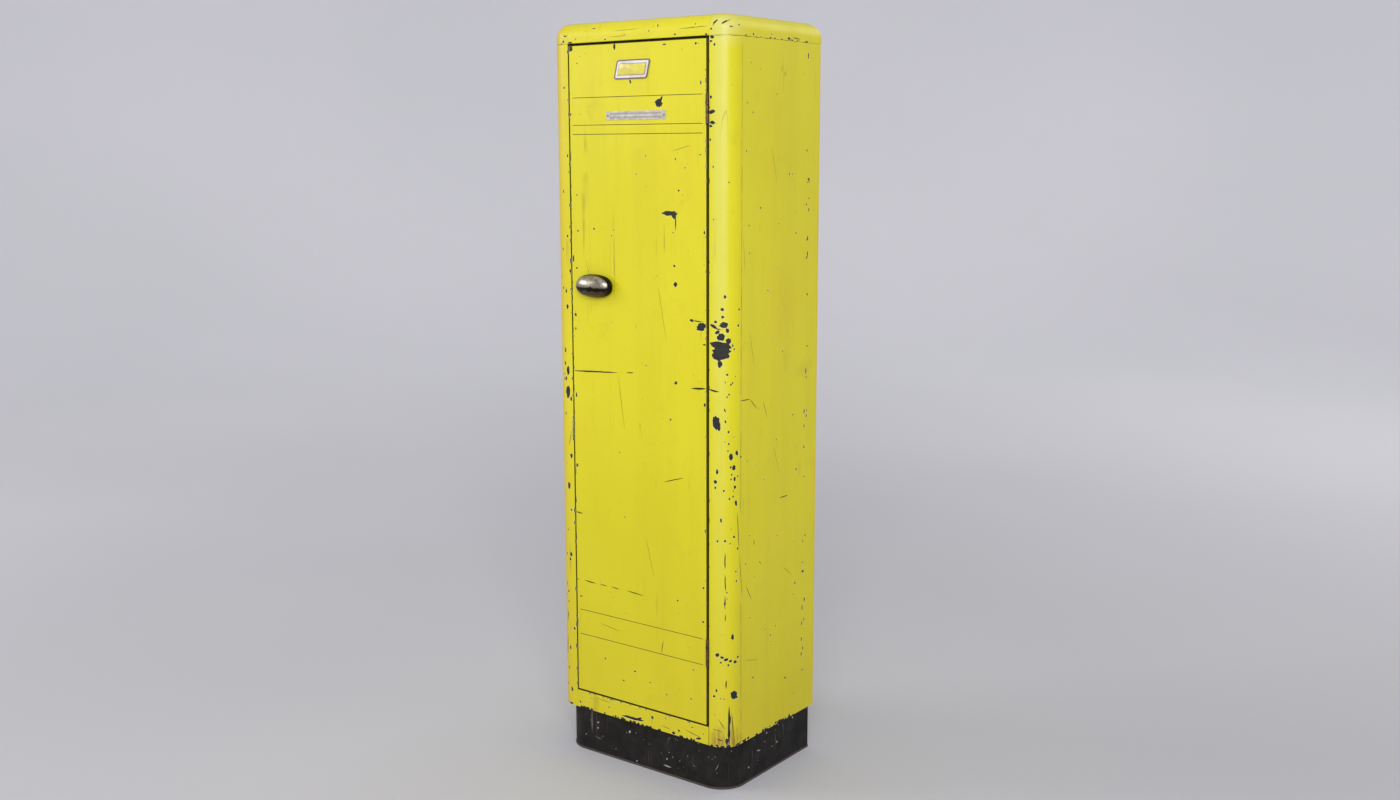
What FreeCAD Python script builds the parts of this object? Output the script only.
import FreeCAD, Part
import math
import os
import types

import Sketcher

# A tall single-door steel locker: a folded and welded sheet-steel carcass on a
# separate plinth, an inset door on two butt hinges, and an oval turning knob
# that works a latch cam. Millimetres, +Z up, the front faces -Y.
# The origin is the middle of the carcass footprint, on the floor.

V = FreeCAD.Vector
doc = FreeCAD.newDocument("steel_locker")

# ---------------------------------------------------------------- sizes
SIZES = [
    # carcass
    ("width", 500), ("depth", 350), ("height", 1700),
    ("sheet", 1.2), ("bend", 1.0),
    ("corner_radius", 45), ("crown_radius", 32), ("cap_height", 45),
    ("stile_flat_left", 11), ("stile_flat_right", 8),
    ("reveal_depth", 22), ("stop_width", 12), ("back_flange", 15),
    ("sill_height", 42), ("seam", 0.5),
    ("back_panel_overlap", 10),
    # cutting shapes run past the piece by overcut, and clear a neighbour by notch_play
    ("overcut", 1), ("notch_play", 2),
    # plinth
    ("plinth_height", 108), ("plinth_tuck", 12), ("plinth_sheet", 1.5),
    ("plinth_inset_front", 10), ("plinth_inset_side", 8), ("plinth_inset_back", 4),
    ("plinth_radius", 60), ("plinth_back_radius", 8), ("plinth_foot", 16),
    ("corner_relief", 3),
    ("bead_height", 5), ("bead_proud", 1.5), ("bead_round", 1.35),
    # door
    ("gap_left", 4), ("gap_right", 7), ("gap_top", 5), ("gap_bottom", 4),
    ("door_depth", 20), ("door_lip", 10), ("door_edge", 1.4),
    ("crease_width", 1.6), ("crease_depth", 0.5), ("crease_margin", 9),
    ("stiffener_depth", 15.6), ("stiffener_height", 60), ("third_crease", 20),
    ("lock_stile_width", 60),
    # hinges
    ("upper_hinge_drop", 193), ("lower_hinge_rise", 323), ("hinge_length", 60),
    ("hinge_leaf", 1.5), ("hinge_leaf_width", 15), ("hinge_proud", 1.0),
    ("hinge_play", 0.3), ("pin_radius", 1.6), ("pin_play", 0.05), ("pin_head_taper", 0.4),
    ("rivet_radius", 2.0), ("rivet_head", 3.4), ("rivet_head_height", 1.4),
    ("rivet_margin", 10),
    # latch
    ("knob_x", -116), ("knob_height", 1122),
    ("knob_length", 104), ("knob_width", 52), ("knob_dome", 22), ("knob_back", 7),
    ("knob_standoff", 9), ("neck_radius", 11),
    ("rose_radius", 17), ("rose_thickness", 2), ("rose_rim", 1), ("rose_slope", 1.5),
    ("bush_radius", 7), ("bush_flange_radius", 10), ("bush_flange", 1.8),
    ("spindle_radius", 5), ("spindle_play", 0.05), ("collar_radius", 8),
    ("cam_thickness", 3), ("cam_reach", 74), ("cam_width", 16), ("cam_hub", 12),
    ("cam_tip_radius", 7),
    ("cam_square", 7), ("washer_radius", 8), ("washer_height", 1.5),
    ("nut_flats", 13), ("nut_height", 5), ("thread_end", 2),
    ("grub_radius", 2), ("grub_length", 5.5), ("grub_margin", 0.6),
    ("grub_slot_width", 1), ("grub_slot_depth", 1),
    ("keeper_length", 60), ("keeper_thickness", 1.5), ("keeper_margin", 1),
    ("keeper_radius", 2), ("part_play", 0.3),
    # plates on the door
    ("badge_x", -8), ("badge_drop", 106), ("badge_width", 92), ("badge_height", 41),
    ("badge_slant", 10), ("badge_radius", 6), ("badge_thickness", 2.2), ("badge_rim", 3),
    ("badge_sink", 0.9), ("badge_pin_spacing", 56), ("small_pin", 1.5), ("pin_tail", 5),
    ("label_x", 1), ("label_drop", 203.5), ("label_width", 166), ("label_height", 19),
    ("label_thickness", 1.0), ("label_radius", 1.5), ("label_pin_inset", 5),
    ("label_pin_head", 2.4), ("label_pin_head_height", 0.7),
    # inside
    ("shelf_drop", 300), ("shelf_flange", 18), ("shelf_setback", 3),
    ("bracket_leg", 20), ("bracket_setback", 15), ("bracket_back", 15),
    ("rail_drop", 365), ("rail_y", 10), ("rail_radius", 11), ("rail_wall", 1.5),
    ("socket_radius", 22), ("socket_plate", 2), ("socket_collar", 3), ("socket_length", 14),
    ("buffer_radius", 4), ("buffer_inset", 60),
]

sheet = doc.addObject("Spreadsheet::Sheet", "sizes")
for row, (alias, value) in enumerate(SIZES, start=1):
    sheet.set("A%d" % row, alias)
    sheet.set("B%d" % row, str(value))
    sheet.setAlias("B%d" % row, alias)
doc.recompute()


class Length:
    """A length that knows both its number and the sheet expression behind it."""

    def __init__(self, value, text):
        self.value = value
        self.text = text

    def __add__(self, other):
        other = length(other)
        return Length(self.value + other.value, "(%s + %s)" % (self.text, other.text))

    def __sub__(self, other):
        other = length(other)
        return Length(self.value - other.value, "(%s - %s)" % (self.text, other.text))

    def __mul__(self, other):
        other = length(other)
        return Length(self.value * other.value, "(%s * %s)" % (self.text, other.text))

    def __truediv__(self, other):
        other = length(other)
        return Length(self.value / other.value, "(%s / %s)" % (self.text, other.text))

    def __neg__(self):
        return length(0) - self

    __radd__ = __add__
    __rmul__ = __mul__

    def __rsub__(self, other):
        return length(other) - self


def length(value):
    """Turn a plain number into a Length, and leave a Length as it is."""
    if isinstance(value, Length):
        return value
    return Length(float(value), "%g" % value)


s = types.SimpleNamespace(
    **{alias: Length(float(value), "sizes.%s" % alias) for alias, value in SIZES}
)

# ---------------------------------------------------------------- places worked out once
half_width = s.width / 2
front = -(s.depth / 2)
back = s.depth / 2
inner_half = half_width - s.sheet
opening_left = s.corner_radius + s.stile_flat_left - half_width
opening_right = half_width - s.corner_radius - s.stile_flat_right
stop_front = front + s.reveal_depth
stop_back = stop_front + s.sheet
cap_bottom = s.height - s.cap_height
sill_top = s.plinth_height + s.sill_height
plinth_top = s.plinth_height + s.plinth_tuck

door_left = opening_left + s.gap_left
door_right = opening_right - s.gap_right
door_bottom = sill_top + s.gap_bottom
door_top = cap_bottom - s.gap_top
door_back = front + s.door_depth
skin_back = front + s.sheet
web_back = skin_back + s.stiffener_depth

hinge_x = opening_right - s.gap_right / 2
hinge_y = front - s.hinge_proud
barrel_radius = s.gap_right / 2 - s.hinge_play
upper_hinge_z = s.height - s.upper_hinge_drop
lower_hinge_z = s.lower_hinge_rise
rivet_y = front + s.door_depth / 2 + s.part_play

knob_centre_y = front - s.rose_thickness - s.part_play - s.knob_standoff
cam_front = stop_back + s.keeper_thickness + 2 * s.part_play
cam_back = cam_front + s.cam_thickness
washer_back = cam_back + s.washer_height
nut_back = washer_back + s.nut_height
spindle_back = nut_back + s.thread_end
shelf_top = s.height - s.shelf_drop
shelf_bottom = shelf_top - s.shelf_flange
rail_z = s.height - s.rail_drop

nodes = []


# ---------------------------------------------------------------- helpers
# where along an edge a corner's rounding is picked, as a share of the edge
PICK_SHARE = 0.4
# distance within which two faces count as level with each other
LEVEL = 0.01
# the least volume that a cut has to take away
LEAST_CUT = 1e-3


def bind(item, name, value):
    """Bind one property of an object to a Length."""
    item.setExpression(name, length(value).text)


def new_body(label):
    body = doc.addObject("PartDesign::Body", label)
    body.Label = label
    return body


def keep(item, label):
    """Mark an object as a piece that is written out under this name."""
    item.Label = label
    nodes.append(item)
    return item


def sketch_on(body, name, role, offset):
    """A sketch on one of the body's own planes, moved along the plane's normal."""
    plane = [f for f in body.Origin.OriginFeatures if f.Role == role][0]
    sketch = body.newObject("Sketcher::SketchObject", name)
    sketch.AttachmentSupport = [(plane, "")]
    sketch.MapMode = "FlatFace"
    bind(sketch, "AttachmentOffset.Base.z", offset)
    return sketch


def level_sketch(body, name, z):
    return sketch_on(body, name, "XY_Plane", z)


def front_sketch(body, name, y):
    """A sketch that looks at the front: its x is X and its y is Z."""
    return sketch_on(body, name, "XZ_Plane", -length(y))


def side_sketch(body, name, x):
    """A sketch that looks from the side: its x is Y and its y is Z."""
    return sketch_on(body, name, "YZ_Plane", x)


def place_point(sketch, geo, point, x, y):
    """Tie a sketch point to the sheet by its two distances from the origin."""
    for kind, axis, value in (("DistanceX", -2, x), ("DistanceY", -1, y)):
        value = length(value)
        if value.text == "0":
            sketch.addConstraint(Sketcher.Constraint("PointOnObject", geo, point, axis))
            continue
        rule = Sketcher.Constraint(kind, -1, 1, geo, point, value.value)
        index = sketch.addConstraint(rule)
        sketch.setExpression("Constraints[%d]" % index, value.text)


def outline(sketch, corners):
    """A closed outline of straight edges. A corner is x, y and, if rounded, a radius."""
    spots = [V(length(c[0]).value, length(c[1]).value, 0) for c in corners]
    count = len(spots)
    edges = []
    for i in range(count):
        edge = Part.LineSegment(spots[i], spots[(i + 1) % count])
        edges.append(sketch.addGeometry(edge, False))
    for i in range(count):
        follow = edges[(i + 1) % count]
        sketch.addConstraint(Sketcher.Constraint("Coincident", edges[i], 2, follow, 1))
    for i, corner in enumerate(corners):
        place_point(sketch, edges[i], 1, corner[0], corner[1])
    for i, corner in enumerate(corners):
        if len(corner) == 3:
            round_corner(sketch, edges, spots, i, length(corner[2]))


def round_corner(sketch, edges, spots, i, radius):
    here = spots[i]
    before = here + (spots[i - 1] - here) * PICK_SHARE
    after = here + (spots[(i + 1) % len(spots)] - here) * PICK_SHARE
    first_new = len(sketch.Geometry)
    sketch.fillet(edges[i - 1], edges[i], before, after, radius.value, True, True)
    for geo in range(first_new, len(sketch.Geometry)):
        if isinstance(sketch.Geometry[geo], Part.ArcOfCircle):
            index = sketch.addConstraint(Sketcher.Constraint("Radius", geo, radius.value))
            sketch.setExpression("Constraints[%d]" % index, radius.text)


def circle(sketch, x, y, radius):
    x, y, radius = length(x), length(y), length(radius)
    shape = Part.Circle(V(x.value, y.value, 0), V(0, 0, 1), radius.value)
    geo = sketch.addGeometry(shape, False)
    index = sketch.addConstraint(Sketcher.Constraint("Radius", geo, radius.value))
    sketch.setExpression("Constraints[%d]" % index, radius.text)
    place_point(sketch, geo, 3, x, y)


def direction(a, b):
    """Unit step from a to b along one of the two sketch axes."""
    step = V(length(b[0]).value - length(a[0]).value, length(b[1]).value - length(a[1]).value, 0)
    return step.normalize()


def bent_strip(sketch, path, side):
    """The section of a folded sheet. The path is one face of the sheet, bent square
    at each inner point; side is 1 if the sheet lies on the path's left, else -1.
    A point may give the radius of its own bend, measured on the path."""
    steps = [direction(path[i], path[i + 1]) for i in range(len(path) - 1)]
    normals = [V(-step.y * side, step.x * side, 0) for step in steps]
    near, far = [], []
    for i, point in enumerate(path):
        if i in (0, len(path) - 1):
            normal = normals[0] if i == 0 else normals[-1]
            near.append((point[0], point[1]))
            far.append((point[0] + s.sheet * round(normal.x), point[1] + s.sheet * round(normal.y)))
            continue
        shift = normals[i - 1] + normals[i]
        turn = steps[i - 1].x * steps[i].y - steps[i - 1].y * steps[i].x
        outside = turn * side > 0
        if len(point) == 3:
            near_radius = point[2]
        else:
            near_radius = s.bend + s.sheet if outside else s.bend
        far_radius = near_radius - s.sheet if outside else near_radius + s.sheet
        near.append((point[0], point[1], near_radius))
        far.append((
            point[0] + s.sheet * round(shift.x),
            point[1] + s.sheet * round(shift.y),
            far_radius,
        ))
    outline(sketch, near + far[::-1])


def pad(body, sketch, amount, reverse=False):
    feature = body.newObject("PartDesign::Pad", "pad")
    feature.Profile = sketch
    feature.Reversed = reverse
    bind(feature, "Length", amount)
    sketch.Visibility = False
    doc.recompute()
    return feature


def pocket(body, sketch, amount, reverse=False):
    """Cut a pocket, and stop if it missed the piece."""
    before = body.Shape.Volume
    feature = body.newObject("PartDesign::Pocket", "pocket")
    feature.Profile = sketch
    feature.Reversed = reverse
    bind(feature, "Length", amount)
    doc.recompute()
    if not feature.Shape.Volume < before - LEAST_CUT:
        raise RuntimeError("the pocket %s of %s cut nothing" % (sketch.Label, body.Label))
    return feature


def fillet(body, base, wanted, radius):
    """Round the edges of the last feature that the test picks out."""
    names = ["Edge%d" % (i + 1) for i, e in enumerate(base.Shape.Edges) if wanted(e.BoundBox)]
    feature = body.newObject("PartDesign::Fillet", "fillet")
    feature.Base = (base, names)
    bind(feature, "Radius", radius)
    doc.recompute()
    return feature


def revolve(body, sketch, vertical):
    """Turn a sketch once round its own vertical or horizontal axis."""
    feature = body.newObject("PartDesign::Revolution", "turned")
    feature.Profile = sketch
    feature.ReferenceAxis = (sketch, ["V_Axis" if vertical else "H_Axis"])
    feature.Angle = 360
    doc.recompute()
    return feature


def box(name, low, high):
    """A Part::Box between two corners, each given as three Lengths."""
    item = doc.addObject("Part::Box", name)
    for prop, axis, a, b in zip(("Length", "Width", "Height"), "xyz", low, high):
        bind(item, prop, length(b) - length(a))
        bind(item, "Placement.Base.%s" % axis, a)
    return item


TURN = {
    "x": FreeCAD.Rotation(V(0, 1, 0), 90),
    "y": FreeCAD.Rotation(V(1, 0, 0), -90),
    "z": FreeCAD.Rotation(),
}


def rod(name, axis, start, radius, amount):
    """A Part::Cylinder that grows from its start point along +X, +Y or +Z."""
    item = doc.addObject("Part::Cylinder", name)
    item.Placement = FreeCAD.Placement(V(0, 0, 0), TURN[axis])
    bind(item, "Radius", radius)
    bind(item, "Height", amount)
    for letter, value in zip("xyz", start):
        bind(item, "Placement.Base.%s" % letter, value)
    return item


def join(name, shapes):
    item = doc.addObject("Part::MultiFuse", name)
    item.Shapes = shapes
    return item


def cut(name, base, tool):
    item = doc.addObject("Part::Cut", name)
    item.Base = base
    item.Tool = tool
    return item


def common(name, base, tool):
    item = doc.addObject("Part::Common", name)
    item.Base = base
    item.Tool = tool
    return item


# ---------------------------------------------------------------- side panels
def side_panel(label, sign, opening_edge):
    """Side wall, rounded corner, stile, door reveal and stop, folded from one sheet."""
    body = new_body(label)
    sketch = level_sketch(body, "section", s.plinth_height)
    bent_strip(sketch, [
        (opening_edge - sign * s.stop_width, stop_front),
        (opening_edge, stop_front),
        (opening_edge, front),
        (sign * half_width, front, s.corner_radius),
        (sign * half_width, back),
        (sign * (half_width - s.back_flange), back),
    ], sign)
    pad(body, sketch, cap_bottom - s.seam - s.plinth_height)
    # the reveal and stop are notched away where the plinth tucks up behind them
    notch = level_sketch(body, "plinth_notch", s.plinth_height)
    inner = opening_edge - sign * (s.stop_width + s.notch_play)
    outer = opening_edge + sign * (s.sheet + s.notch_play)
    rear = stop_back + s.notch_play
    outline(notch, [
        (inner, skin_back), (outer, skin_back), (outer, rear), (inner, rear),
    ])
    pocket(body, notch, s.plinth_tuck + s.overcut, reverse=True)
    return keep(body, label)


def hinge_rivet_spots():
    """Heights of the four rivets, two to each hinge."""
    reach = s.hinge_length / 2 - s.rivet_margin
    return [z + sign * reach for z in (upper_hinge_z, lower_hinge_z) for sign in (-1, 1)]


def drill_hinge_side(body, x_near, reverse):
    """Rivet holes through a sheet that stands square to X, starting beside it."""
    sketch = side_sketch(body, "rivet_holes", x_near)
    for z in hinge_rivet_spots():
        circle(sketch, rivet_y, z, s.rivet_radius)
    pocket(body, sketch, s.sheet + 2 * s.overcut, reverse)


left_panel = side_panel("left_side_panel", -1, opening_left)
right_panel = side_panel("right_side_panel", 1, opening_right)
drill_hinge_side(right_panel, opening_right - s.overcut, True)

# ---------------------------------------------------------------- back panel
back_sheet = new_body("back_panel")
sketch = front_sketch(back_sheet, "sheet", back - s.sheet)
reach = inner_half - s.bend - s.part_play
panel_top = cap_bottom + s.back_panel_overlap
outline(sketch, [
    (-reach, s.plinth_height), (reach, s.plinth_height),
    (reach, panel_top), (-reach, panel_top),
])
pad(back_sheet, sketch, s.sheet)
keep(back_sheet, "back_panel")


# ---------------------------------------------------------------- cap and header rail
def crown(label, inset):
    """A solid block with the rounded outer form of the cap, shrunk by inset."""
    body = new_body(label)
    side, lead, rear = half_width - inset, front + inset, back - inset
    sketch = level_sketch(body, "footprint", cap_bottom)
    corner = s.corner_radius - inset
    outline(sketch, [(-side, lead, corner), (side, lead, corner), (side, rear), (-side, rear)])
    block = pad(body, sketch, s.cap_height - inset)
    top = (s.height - inset).value - LEVEL
    fillet(body, block, lambda bounds: bounds.ZMin > top, s.crown_radius - inset)
    return body


crown_shell = cut("crown_shell", crown("crown_outside", length(0)), crown("crown_inside", s.sheet))
notch_back = front + s.crown_radius
cap_notch = box(
    "cap_notch",
    (opening_left, front - s.overcut, cap_bottom - s.overcut),
    (opening_right, notch_back, s.height + s.overcut),
)
keep(cut("top_cap", crown_shell, cap_notch), "top_cap")


def rail_corners(body, z):
    """Clear the rail's two ends where the side panels' stops pass behind it."""
    sketch = level_sketch(body, "stop_clearance", z)
    lead, rear = stop_front - s.part_play, stop_back + s.notch_play
    for edge, sign in ((opening_left, -1), (opening_right, 1)):
        inner = edge - sign * (s.stop_width + s.part_play)
        outer = edge + sign * s.notch_play
        outline(sketch, [(inner, lead), (outer, lead), (outer, rear), (inner, rear)])
    return sketch


rail_left = opening_left + s.seam
rail_right = opening_right - s.seam
header_return = new_body("header_return")
sketch = side_sketch(header_return, "section", rail_left)
bent_strip(sketch, [
    (skin_back, cap_bottom),
    (stop_front, cap_bottom),
    (stop_front, cap_bottom - s.stop_width),
], 1)
pad(header_return, sketch, rail_right - rail_left)
pocket(header_return, rail_corners(header_return, s.height), s.height)

crown_for_header = cut(
    "crown_for_header", crown("header_outside", length(0)), crown("header_inside", s.sheet)
)
header_block = box(
    "header_block",
    (rail_left, front - s.overcut, cap_bottom - s.overcut),
    (rail_right, notch_back - s.seam, s.height + s.overcut),
)
header_face = common("header_face", crown_for_header, header_block)
keep(join("header_rail", [header_face, header_return]), "header_rail")

# ---------------------------------------------------------------- bottom rail
sill = new_body("bottom_rail")
sketch = side_sketch(sill, "section", rail_left)
bent_strip(sketch, [
    (front, s.plinth_height),
    (front, sill_top),
    (stop_front, sill_top),
    (stop_front, sill_top + s.stop_width),
], -1)
pad(sill, sketch, rail_right - rail_left)
pocket(sill, rail_corners(sill, s.height), s.height)
keep(sill, "bottom_rail")


# ---------------------------------------------------------------- floor pan and hat shelf
def corner_notches(body, name, z, side, lead, radius, amount):
    """Cut away the flanges round the two rounded front corners, where a folded
    edge can't follow the bend. side, lead and radius give the outline to cut up to."""
    sketch = level_sketch(body, name, z)
    reach = radius + s.corner_relief
    for sign in (-1, 1):
        outline(sketch, [
            (sign * side, lead, radius), (sign * (side - reach), lead),
            (sign * (side - reach), lead + reach), (sign * side, lead + reach),
        ])
    pocket(body, sketch, amount, reverse=True)


def tray(label, lead, top, drop):
    """A level sheet with its edges turned down, except round its front corners."""
    body = new_body(label)
    side, rear = inner_half - s.part_play, back - 2 * s.sheet - s.part_play
    corner = s.corner_radius
    sketch = level_sketch(body, "footprint", top - drop)
    outline(sketch, [(-side, lead, corner), (side, lead, corner), (side, rear), (-side, rear)])
    pad(body, sketch, drop)
    wall = s.sheet
    hollow = level_sketch(body, "hollow", top - drop)
    outline(hollow, [
        (wall - side, lead + wall, corner - wall), (side - wall, lead + wall, corner - wall),
        (side - wall, rear - wall), (wall - side, rear - wall),
    ])
    pocket(body, hollow, drop - wall, reverse=True)
    corner_notches(body, "corner_notches", top - drop, side, lead, corner, drop - wall)
    return keep(body, label)


tray("floor_pan", stop_back + s.part_play, sill_top, sill_top - plinth_top)
# the shelf's front edge stays behind the latch, whatever its height
tray("hat_shelf", spindle_back + s.shelf_setback, shelf_top, s.shelf_flange)


def shelf_bracket(label, sign):
    """An angle on the side wall that the shelf's edge rests on."""
    body = new_body(label)
    y_start = front + s.corner_radius + s.bracket_setback
    sketch = front_sketch(body, "section", y_start)
    wall_x = sign * inner_half
    bent_strip(sketch, [
        (wall_x - sign * s.bracket_leg, shelf_bottom),
        (wall_x, shelf_bottom),
        (wall_x, shelf_bottom - s.bracket_leg),
    ], -sign)
    pad(body, sketch, back - s.bracket_back - y_start, reverse=True)
    return keep(body, label)


shelf_bracket("shelf_bracket_left", -1)
shelf_bracket("shelf_bracket_right", 1)

# ---------------------------------------------------------------- plinth
def plinth_outline(sketch, grow):
    """The plinth's rounded footprint, moved outward by grow."""
    side = half_width - s.plinth_inset_side + grow
    lead = front + s.plinth_inset_front - grow
    rear = back - s.plinth_inset_back + grow
    lead_radius, rear_radius = s.plinth_radius + grow, s.plinth_back_radius + grow
    outline(sketch, [
        (-side, lead, lead_radius), (side, lead, lead_radius),
        (side, rear, rear_radius), (-side, rear, rear_radius),
    ])


plinth = new_body("plinth")
sketch = level_sketch(plinth, "bead", 0)
plinth_outline(sketch, s.bead_proud)
bead = pad(plinth, sketch, s.bead_height)
fillet(plinth, bead, lambda bounds: bounds.ZLength < LEVEL, s.bead_round)
sketch = level_sketch(plinth, "wall", 0)
plinth_outline(sketch, length(0))
pad(plinth, sketch, plinth_top)
sketch = level_sketch(plinth, "hollow", s.plinth_sheet)
plinth_outline(sketch, -s.plinth_sheet)
pocket(plinth, sketch, plinth_top - 2 * s.plinth_sheet, reverse=True)
sketch = level_sketch(plinth, "mouth", 0)
foot = half_width - s.plinth_inset_side - s.plinth_foot
foot_front = front + s.plinth_inset_front + s.plinth_foot
foot_back = back - s.plinth_inset_back - s.plinth_foot
foot_radius = s.plinth_radius - s.plinth_foot
outline(sketch, [
    (-foot, foot_front, foot_radius), (foot, foot_front, foot_radius),
    (foot, foot_back), (-foot, foot_back),
])
pocket(plinth, sketch, plinth_top, reverse=True)
corner_notches(
    plinth, "corner_notches", 0, half_width - s.plinth_inset_side - s.plinth_sheet,
    front + s.plinth_inset_front + s.plinth_sheet, s.plinth_radius - s.plinth_sheet, plinth_top,
)
keep(plinth, "plinth")

# ---------------------------------------------------------------- coat rail
socket_inner = inner_half - s.socket_plate
rail_tube = cut(
    "coat_rail",
    rod("rail_outside", "x", (-socket_inner, s.rail_y, rail_z), s.rail_radius, 2 * socket_inner),
    rod("rail_bore", "x", (-socket_inner, s.rail_y, rail_z),
        s.rail_radius - s.rail_wall, 2 * socket_inner),
)
keep(rail_tube, "coat_rail")


def rail_socket(label, sign):
    """A round plate on the side wall with a collar that holds the rail's end."""
    body = new_body(label)
    collar = s.rail_radius + s.socket_collar
    sketch = level_sketch(body, "section", 0)
    outline(sketch, [
        (0, 0), (0, s.socket_radius),
        (sign * s.socket_plate, s.socket_radius),
        (sign * s.socket_plate, collar),
        (sign * s.socket_length, collar),
        (sign * s.socket_length, s.rail_radius),
        (sign * s.socket_plate, s.rail_radius),
        (sign * s.socket_plate, 0),
    ])
    revolve(body, sketch, vertical=False)
    bind(body, "Placement.Base.x", -sign * inner_half)
    bind(body, "Placement.Base.y", s.rail_y)
    bind(body, "Placement.Base.z", rail_z)
    return keep(body, label)


rail_socket("rail_socket_left", 1)
rail_socket("rail_socket_right", -1)

# ---------------------------------------------------------------- door skin
door = new_body("door_skin")
sketch = front_sketch(door, "face", front)
edge = s.door_edge
outline(sketch, [
    (door_left, door_bottom, edge), (door_right, door_bottom, edge),
    (door_right, door_top, edge), (door_left, door_top, edge),
])
face = pad(door, sketch, s.door_depth, reverse=True)
front_plane = front.value + LEVEL
fillet(door, face, lambda bounds: bounds.YMax < front_plane, s.door_edge)
sketch = front_sketch(door, "hollow", skin_back)
outline(sketch, [
    (door_left + s.sheet, door_bottom + s.sheet), (door_right - s.sheet, door_bottom + s.sheet),
    (door_right - s.sheet, door_top - s.sheet), (door_left + s.sheet, door_top - s.sheet),
])
pocket(door, sketch, s.door_depth - 2 * s.sheet)
sketch = front_sketch(door, "mouth", door_back)
lip = s.sheet + s.door_lip
outline(sketch, [
    (door_left + lip, door_bottom + lip), (door_right - lip, door_bottom + lip),
    (door_right - lip, door_top - lip), (door_left + lip, door_top - lip),
])
pocket(door, sketch, s.sheet + s.overcut, reverse=True)
# shallow pressed lines in front of the stiffeners' edges
sketch = front_sketch(door, "creases", front)
half_channel = s.stiffener_height / 2
for z in (
    upper_hinge_z + half_channel, upper_hinge_z - half_channel,
    upper_hinge_z - half_channel - s.third_crease,
    lower_hinge_z + half_channel, lower_hinge_z - half_channel,
):
    low, high = z - s.crease_width / 2, z + s.crease_width / 2
    start, end = door_left + s.crease_margin, door_right - s.crease_margin
    outline(sketch, [(start, low), (end, low), (end, high), (start, high)])
pocket(door, sketch, s.crease_depth, reverse=False)
sketch = front_sketch(door, "bush_hole", front)
circle(sketch, s.knob_x, s.knob_height, s.bush_radius)
pocket(door, sketch, s.sheet + s.overcut, reverse=False)
drill_hinge_side(door, door_right + s.overcut, False)

badge_z = s.height - s.badge_drop
label_z = s.height - s.label_drop
badge_pins_x = [s.badge_x + sign * s.badge_pin_spacing / 2 for sign in (-1, 1)]
label_pins_x = [
    s.label_x + sign * (s.label_width / 2 - s.label_pin_inset) for sign in (-1, 1)
]
sketch = front_sketch(door, "plate_holes", front)
for x in badge_pins_x:
    circle(sketch, x, badge_z, s.small_pin)
for x in label_pins_x:
    circle(sketch, x, label_z, s.small_pin)
pocket(door, sketch, s.sheet + s.overcut, reverse=False)
keep(door, "door_skin")


# ---------------------------------------------------------------- door stiffeners
def stiffener(label, z):
    """A level channel welded behind the skin, as tall as the hinge beside it."""
    body = new_body(label)
    start = door_left + s.sheet + s.part_play
    end = door_right - s.sheet - s.part_play
    sketch = side_sketch(body, "section", start)
    half = s.stiffener_height / 2
    bent_strip(sketch, [
        (skin_back, z - half), (web_back, z - half), (web_back, z + half), (skin_back, z + half),
    ], 1)
    pad(body, sketch, end - start)
    return keep(body, label)


stiffener("upper_stiffener", upper_hinge_z)
stiffener("lower_stiffener", lower_hinge_z)

lock_stile = new_body("lock_stile")
stile_bottom = lower_hinge_z + s.stiffener_height / 2
stile_top = upper_hinge_z - s.stiffener_height / 2
sketch = level_sketch(lock_stile, "section", stile_bottom)
half = s.lock_stile_width / 2
bent_strip(sketch, [
    (s.knob_x - half, skin_back), (s.knob_x - half, web_back),
    (s.knob_x + half, web_back), (s.knob_x + half, skin_back),
], -1)
pad(lock_stile, sketch, stile_top - stile_bottom)
sketch = front_sketch(lock_stile, "bush_hole", web_back)
circle(sketch, s.knob_x, s.knob_height, s.bush_radius)
pocket(lock_stile, sketch, s.sheet + s.overcut, reverse=True)
keep(lock_stile, "lock_stile")

# ---------------------------------------------------------------- hinges
knuckle = s.hinge_length / 3


def hinge_leaf(label, z, sign, plate_face, levels, bore):
    """One leaf of a butt hinge: a plate on the door edge or the reveal, a strap
    that rolls round the pin at each of its own knuckles, and two rivet holes.
    sign is 1 for the frame's leaf, which stands on the pin's +X side."""
    low = z - s.hinge_length / 2
    inner = plate_face - sign * s.hinge_leaf
    x_low, x_high = (inner, plate_face) if sign > 0 else (plate_face, inner)
    strap_y = hinge_y + barrel_radius + s.part_play
    parts = [box(
        label + "_plate",
        (x_low, strap_y, low),
        (x_high, strap_y + s.hinge_leaf_width, low + s.hinge_length),
    )]
    for level in levels:
        bottom = low + level * knuckle + s.hinge_play / 2
        tall = knuckle - s.hinge_play
        parts.append(box(
            label + "_strap", (x_low, hinge_y, bottom), (x_high, strap_y, bottom + tall)
        ))
        parts.append(rod(
            label + "_knuckle", "z", (hinge_x, hinge_y, bottom), barrel_radius, tall
        ))
    past_end = (hinge_x, hinge_y, low - s.overcut)
    holes = [rod(label + "_bore", "z", past_end, bore, s.hinge_length + 2 * s.overcut)]
    reach = s.hinge_length / 2 - s.rivet_margin
    for side in (-1, 1):
        start = (x_low - s.overcut, rivet_y, z + side * reach)
        drilled = s.hinge_leaf + 2 * s.overcut
        holes.append(rod(label + "_hole", "x", start, s.rivet_radius, drilled))
    leaf = cut(label, join(label + "_solid", parts), join(label + "_holes", holes))
    return keep(leaf, label)


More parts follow.
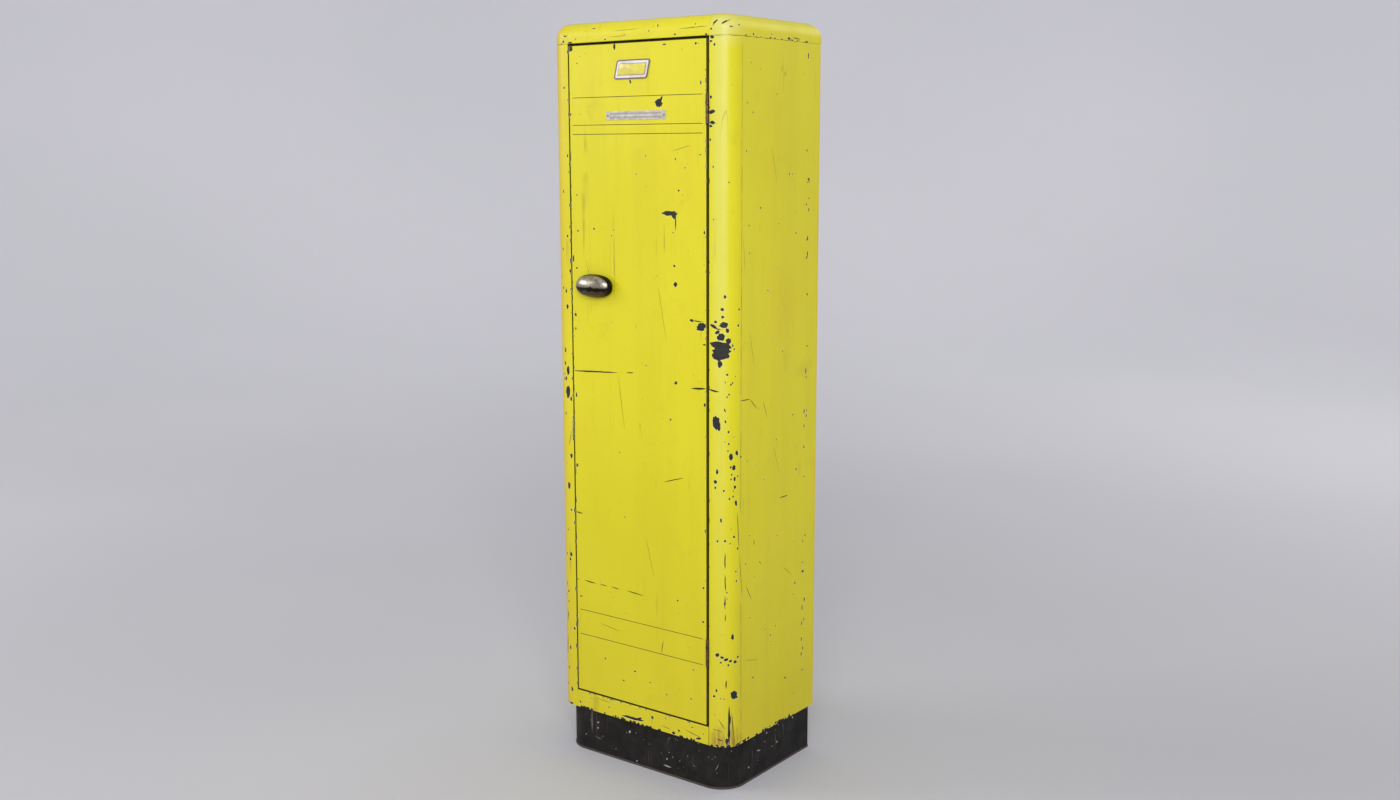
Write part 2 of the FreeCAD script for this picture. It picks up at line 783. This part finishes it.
def hinge_pin(label, z):
    """A headed pin, turned from one bar, that stays in the frame's leaf."""
    body = new_body(label)
    reach = s.hinge_length / 2
    head = s.hinge_leaf
    tip = barrel_radius - s.pin_head_taper
    sketch = front_sketch(body, "section", 0)
    outline(sketch, [
        (0, -reach - head), (tip, -reach - head), (barrel_radius, -reach),
        (s.pin_radius, -reach), (s.pin_radius, reach),
        (barrel_radius, reach), (tip, reach + head), (0, reach + head),
    ])
    revolve(body, sketch, vertical=True)
    bind(body, "Placement.Base.x", hinge_x)
    bind(body, "Placement.Base.y", hinge_y)
    bind(body, "Placement.Base.z", z)
    return keep(body, label)


for name, z in (("upper", upper_hinge_z), ("lower", lower_hinge_z)):
    hinge_leaf(name + "_hinge_frame_leaf", z, 1, opening_right, (0, 2), s.pin_radius)
    hinge_leaf(name + "_hinge_door_leaf", z, -1, door_right, (1,), s.pin_radius + s.pin_play)
    hinge_pin(name + "_hinge_pin", z)


def hinge_rivets(label, leaf_face, sheet_far, sign):
    """Four rivets, flush with the leaf and headed on the far side of the sheet."""
    parts = []
    for z in hinge_rivet_spots():
        low, high = (leaf_face, sheet_far) if sign > 0 else (sheet_far, leaf_face)
        parts.append(rod(label + "_shank", "x", (low, rivet_y, z), s.rivet_radius, high - low))
        head_x = sheet_far if sign > 0 else sheet_far - s.rivet_head_height
        head = rod(label + "_head", "x", (head_x, rivet_y, z), s.rivet_head, s.rivet_head_height)
        parts.append(head)
    return keep(join(label, parts), label)


hinge_rivets("frame_hinge_rivets", opening_right - s.hinge_leaf, opening_right + s.sheet, 1)
hinge_rivets("door_hinge_rivets", door_right + s.hinge_leaf, door_right - s.sheet, -1)

# ---------------------------------------------------------------- latch
def on_knob_axis(body):
    """Move a piece turned about the world's Y axis onto the knob's axis."""
    bind(body, "Placement.Base.x", s.knob_x)
    bind(body, "Placement.Base.z", s.knob_height)


rose_front = front - s.rose_thickness
rose = new_body("knob_rose")
sketch = level_sketch(rose, "section", 0)
outline(sketch, [
    (s.bush_radius, front), (s.rose_radius, front),
    (s.rose_radius, rose_front + s.rose_rim), (s.rose_radius - s.rose_slope, rose_front),
    (s.bush_radius, rose_front),
])
revolve(rose, sketch, vertical=True)
on_knob_axis(rose)
keep(rose, "knob_rose")

bush = new_body("latch_bush")
bore = s.spindle_radius + s.spindle_play
sketch = level_sketch(bush, "section", 0)
outline(sketch, [
    (bore, rose_front), (s.bush_radius, rose_front), (s.bush_radius, web_back),
    (s.bush_flange_radius, web_back), (s.bush_flange_radius, web_back + s.bush_flange),
    (bore, web_back + s.bush_flange),
])
revolve(bush, sketch, vertical=True)
on_knob_axis(bush)
keep(bush, "latch_bush")

# the knob: an oval dome cut flat behind its widest section, a neck and a blind bore
neck_back = rose_front - s.part_play
knob_flat = knob_centre_y + s.knob_back
knob_dome = doc.addObject("Part::Ellipsoid", "knob_dome")
bind(knob_dome, "Radius1", s.knob_width / 2)
bind(knob_dome, "Radius2", s.knob_length / 2)
bind(knob_dome, "Radius3", s.knob_dome)
bind(knob_dome, "Placement.Base.x", s.knob_x)
bind(knob_dome, "Placement.Base.y", knob_centre_y)
bind(knob_dome, "Placement.Base.z", s.knob_height)
reach = s.knob_length
behind = box(
    "behind_knob",
    (s.knob_x - reach, knob_flat, s.knob_height - reach),
    (s.knob_x + reach, knob_flat + reach, s.knob_height + reach),
)
neck = rod(
    "knob_neck", "y", (s.knob_x, knob_centre_y, s.knob_height),
    s.neck_radius, neck_back - knob_centre_y,
)
knob_solid = join("knob_solid", [cut("knob_head", knob_dome, behind), neck])
spindle_front = knob_centre_y - s.knob_back
knob_bore = rod(
    "knob_bore", "y", (s.knob_x, spindle_front, s.knob_height),
    s.spindle_radius, neck_back - spindle_front + s.overcut,
)
grub_y = neck_back - s.grub_radius - s.grub_margin
grub_hole = rod(
    "grub_hole", "z", (s.knob_x, grub_y, s.knob_height - s.neck_radius - s.overcut),
    s.grub_radius, s.neck_radius - s.spindle_radius + 2 * s.overcut,
)
keep(cut("knob", knob_solid, join("knob_holes", [knob_bore, grub_hole])), "knob")

grub = new_body("knob_grub_screw")
sketch = level_sketch(grub, "end", 0)
circle(sketch, 0, 0, s.grub_radius)
pad(grub, sketch, s.grub_length, reverse=True)
sketch = level_sketch(grub, "slot", -s.grub_length)
slot = s.grub_slot_width / 2
outline(sketch, [(-2 * s.grub_radius, -slot), (2 * s.grub_radius, -slot),
                 (2 * s.grub_radius, slot), (-2 * s.grub_radius, slot)])
pocket(grub, sketch, s.grub_slot_depth, reverse=True)
bind(grub, "Placement.Base.x", s.knob_x)
bind(grub, "Placement.Base.y", grub_y)
bind(grub, "Placement.Base.z", s.knob_height - s.spindle_radius)
keep(grub, "knob_grub_screw")

collar_front = web_back + s.bush_flange + s.part_play
spindle = new_body("latch_spindle")
sketch = level_sketch(spindle, "section", 0)
outline(sketch, [
    (0, spindle_front), (s.spindle_radius, spindle_front),
    (s.spindle_radius, collar_front), (s.collar_radius, collar_front),
    (s.collar_radius, cam_front), (0, cam_front),
])
revolve(spindle, sketch, vertical=True)
square = s.cam_square / 2
sketch = front_sketch(spindle, "square", cam_front)
outline(sketch, [(-square, -square), (square, -square), (square, square), (-square, square)])
pad(spindle, sketch, s.cam_thickness, reverse=True)
sketch = front_sketch(spindle, "thread", cam_back)
circle(sketch, 0, 0, square)
pad(spindle, sketch, spindle_back - cam_back, reverse=True)
on_knob_axis(spindle)
keep(spindle, "latch_spindle")

cam = new_body("latch_cam")
sketch = front_sketch(cam, "hub", cam_front)
circle(sketch, 0, 0, s.cam_hub)
pad(cam, sketch, s.cam_thickness, reverse=True)
sketch = front_sketch(cam, "arm", cam_front)
wide, tip = s.cam_width / 2, s.cam_tip_radius
outline(sketch, [
    (-wide, 0), (-wide, -s.cam_reach, tip), (wide, -s.cam_reach, tip), (wide, 0),
])
pad(cam, sketch, s.cam_thickness, reverse=True)
sketch = front_sketch(cam, "square", cam_front)
outline(sketch, [(-square, -square), (square, -square), (square, square), (-square, square)])
pocket(cam, sketch, s.cam_thickness, reverse=False)
on_knob_axis(cam)
keep(cam, "latch_cam")

washer = new_body("spindle_washer")
sketch = front_sketch(washer, "ring", cam_back)
circle(sketch, 0, 0, s.washer_radius)
circle(sketch, 0, 0, square)
pad(washer, sketch, s.washer_height, reverse=True)
on_knob_axis(washer)
keep(washer, "spindle_washer")

nut = new_body("spindle_nut")
sketch = front_sketch(nut, "hexagon", washer_back)
across = s.nut_flats / math.sqrt(3)
outline(sketch, [
    (across, 0), (across / 2, s.nut_flats / 2), (-across / 2, s.nut_flats / 2),
    (-across, 0), (-across / 2, -s.nut_flats / 2), (across / 2, -s.nut_flats / 2),
])
circle(sketch, 0, 0, square)
pad(nut, sketch, s.nut_height, reverse=True)
on_knob_axis(nut)
keep(nut, "spindle_nut")

keeper = new_body("latch_keeper")
sketch = front_sketch(keeper, "plate", stop_back)
keeper_half = s.keeper_length / 2
keeper_left = opening_left + s.keeper_margin
keeper_right = opening_left + s.stop_width - s.keeper_margin
outline(sketch, [
    (keeper_left, s.knob_height - keeper_half, s.keeper_radius),
    (keeper_right, s.knob_height - keeper_half, s.keeper_radius),
    (keeper_right, s.knob_height + keeper_half, s.keeper_radius),
    (keeper_left, s.knob_height + keeper_half, s.keeper_radius),
])
pad(keeper, sketch, s.keeper_thickness, reverse=True)
keep(keeper, "latch_keeper")

# ---------------------------------------------------------------- rubber buffers
buffer_height = stop_front - door_back - s.part_play
buffers = []
for edge, sign in ((opening_left, 1), (opening_right, -1)):
    for z in (door_bottom + s.buffer_inset, door_top - s.buffer_inset):
        centre = (edge + sign * s.stop_width / 2, stop_front - buffer_height, z)
        buffers.append(rod("buffer", "y", centre, s.buffer_radius, buffer_height))
keep(join("door_buffers", buffers), "door_buffers")


# ---------------------------------------------------------------- badge and label
def slanted(inset):
    """Corners of the badge's leaning outline, drawn in by inset."""
    wide, tall = s.badge_width / 2 - inset, s.badge_height / 2 - inset
    lean = s.badge_slant / 2
    radius = s.badge_radius - inset
    return [
        (s.badge_x - wide - lean, badge_z - tall, radius),
        (s.badge_x + wide - lean, badge_z - tall, radius),
        (s.badge_x + wide + lean, badge_z + tall, radius),
        (s.badge_x - wide + lean, badge_z + tall, radius),
    ]


badge = new_body("badge_plate")
sketch = front_sketch(badge, "outline", front)
outline(sketch, slanted(length(0)))
pad(badge, sketch, s.badge_thickness)
sketch = front_sketch(badge, "field", front - s.badge_thickness)
outline(sketch, slanted(s.badge_rim))
pocket(badge, sketch, s.badge_sink, reverse=False)
keep(badge, "badge_plate")

label_plate = new_body("label_plate")
sketch = front_sketch(label_plate, "outline", front)
side, tall = s.label_width / 2, s.label_height / 2
outline(sketch, [
    (s.label_x - side, label_z - tall, s.label_radius),
    (s.label_x + side, label_z - tall, s.label_radius),
    (s.label_x + side, label_z + tall, s.label_radius),
    (s.label_x - side, label_z + tall, s.label_radius),
])
pad(label_plate, sketch, s.label_thickness)
sketch = front_sketch(label_plate, "pin_holes", front - s.label_thickness)
for x in label_pins_x:
    circle(sketch, x, label_z, s.small_pin)
pocket(label_plate, sketch, s.label_thickness, reverse=False)
keep(label_plate, "label_plate")

keep(join("badge_pins", [
    rod("badge_pin", "y", (x, front, badge_z), s.small_pin, s.pin_tail) for x in badge_pins_x
]), "badge_pins")

label_pins = []
for x in label_pins_x:
    face_y = front - s.label_thickness
    label_pins.append(rod("label_pin", "y", (x, face_y, label_z), s.small_pin, s.pin_tail))
    head_start = (x, face_y - s.label_pin_head_height, label_z)
    label_pins.append(rod(
        "label_pin_head", "y", head_start, s.label_pin_head, s.label_pin_head_height
    ))
keep(join("label_pins", label_pins), "label_pins")

# ---------------------------------------------------------------- check and write
doc.recompute()
for item in doc.Objects:
    if "Invalid" in item.State or "Error" in item.State:
        raise RuntimeError("%s (%s) did not build: %s" % (item.Name, item.Label, item.State))

os.makedirs("parts", exist_ok=True)
for item in nodes:
    shape = item.Shape
    if shape.isNull() or not shape.isValid():
        raise RuntimeError("%s has no valid shape" % item.Label)
    shape.exportStep("parts/%s.step" % item.Label)
    size = shape.BoundBox
    print("%-26s %2d solids  %9.1f mm3  %6.1f x %6.1f x %6.1f" % (
        item.Label, len(shape.Solids), shape.Volume, size.XLength, size.YLength, size.ZLength))
print(len(nodes), "pieces")
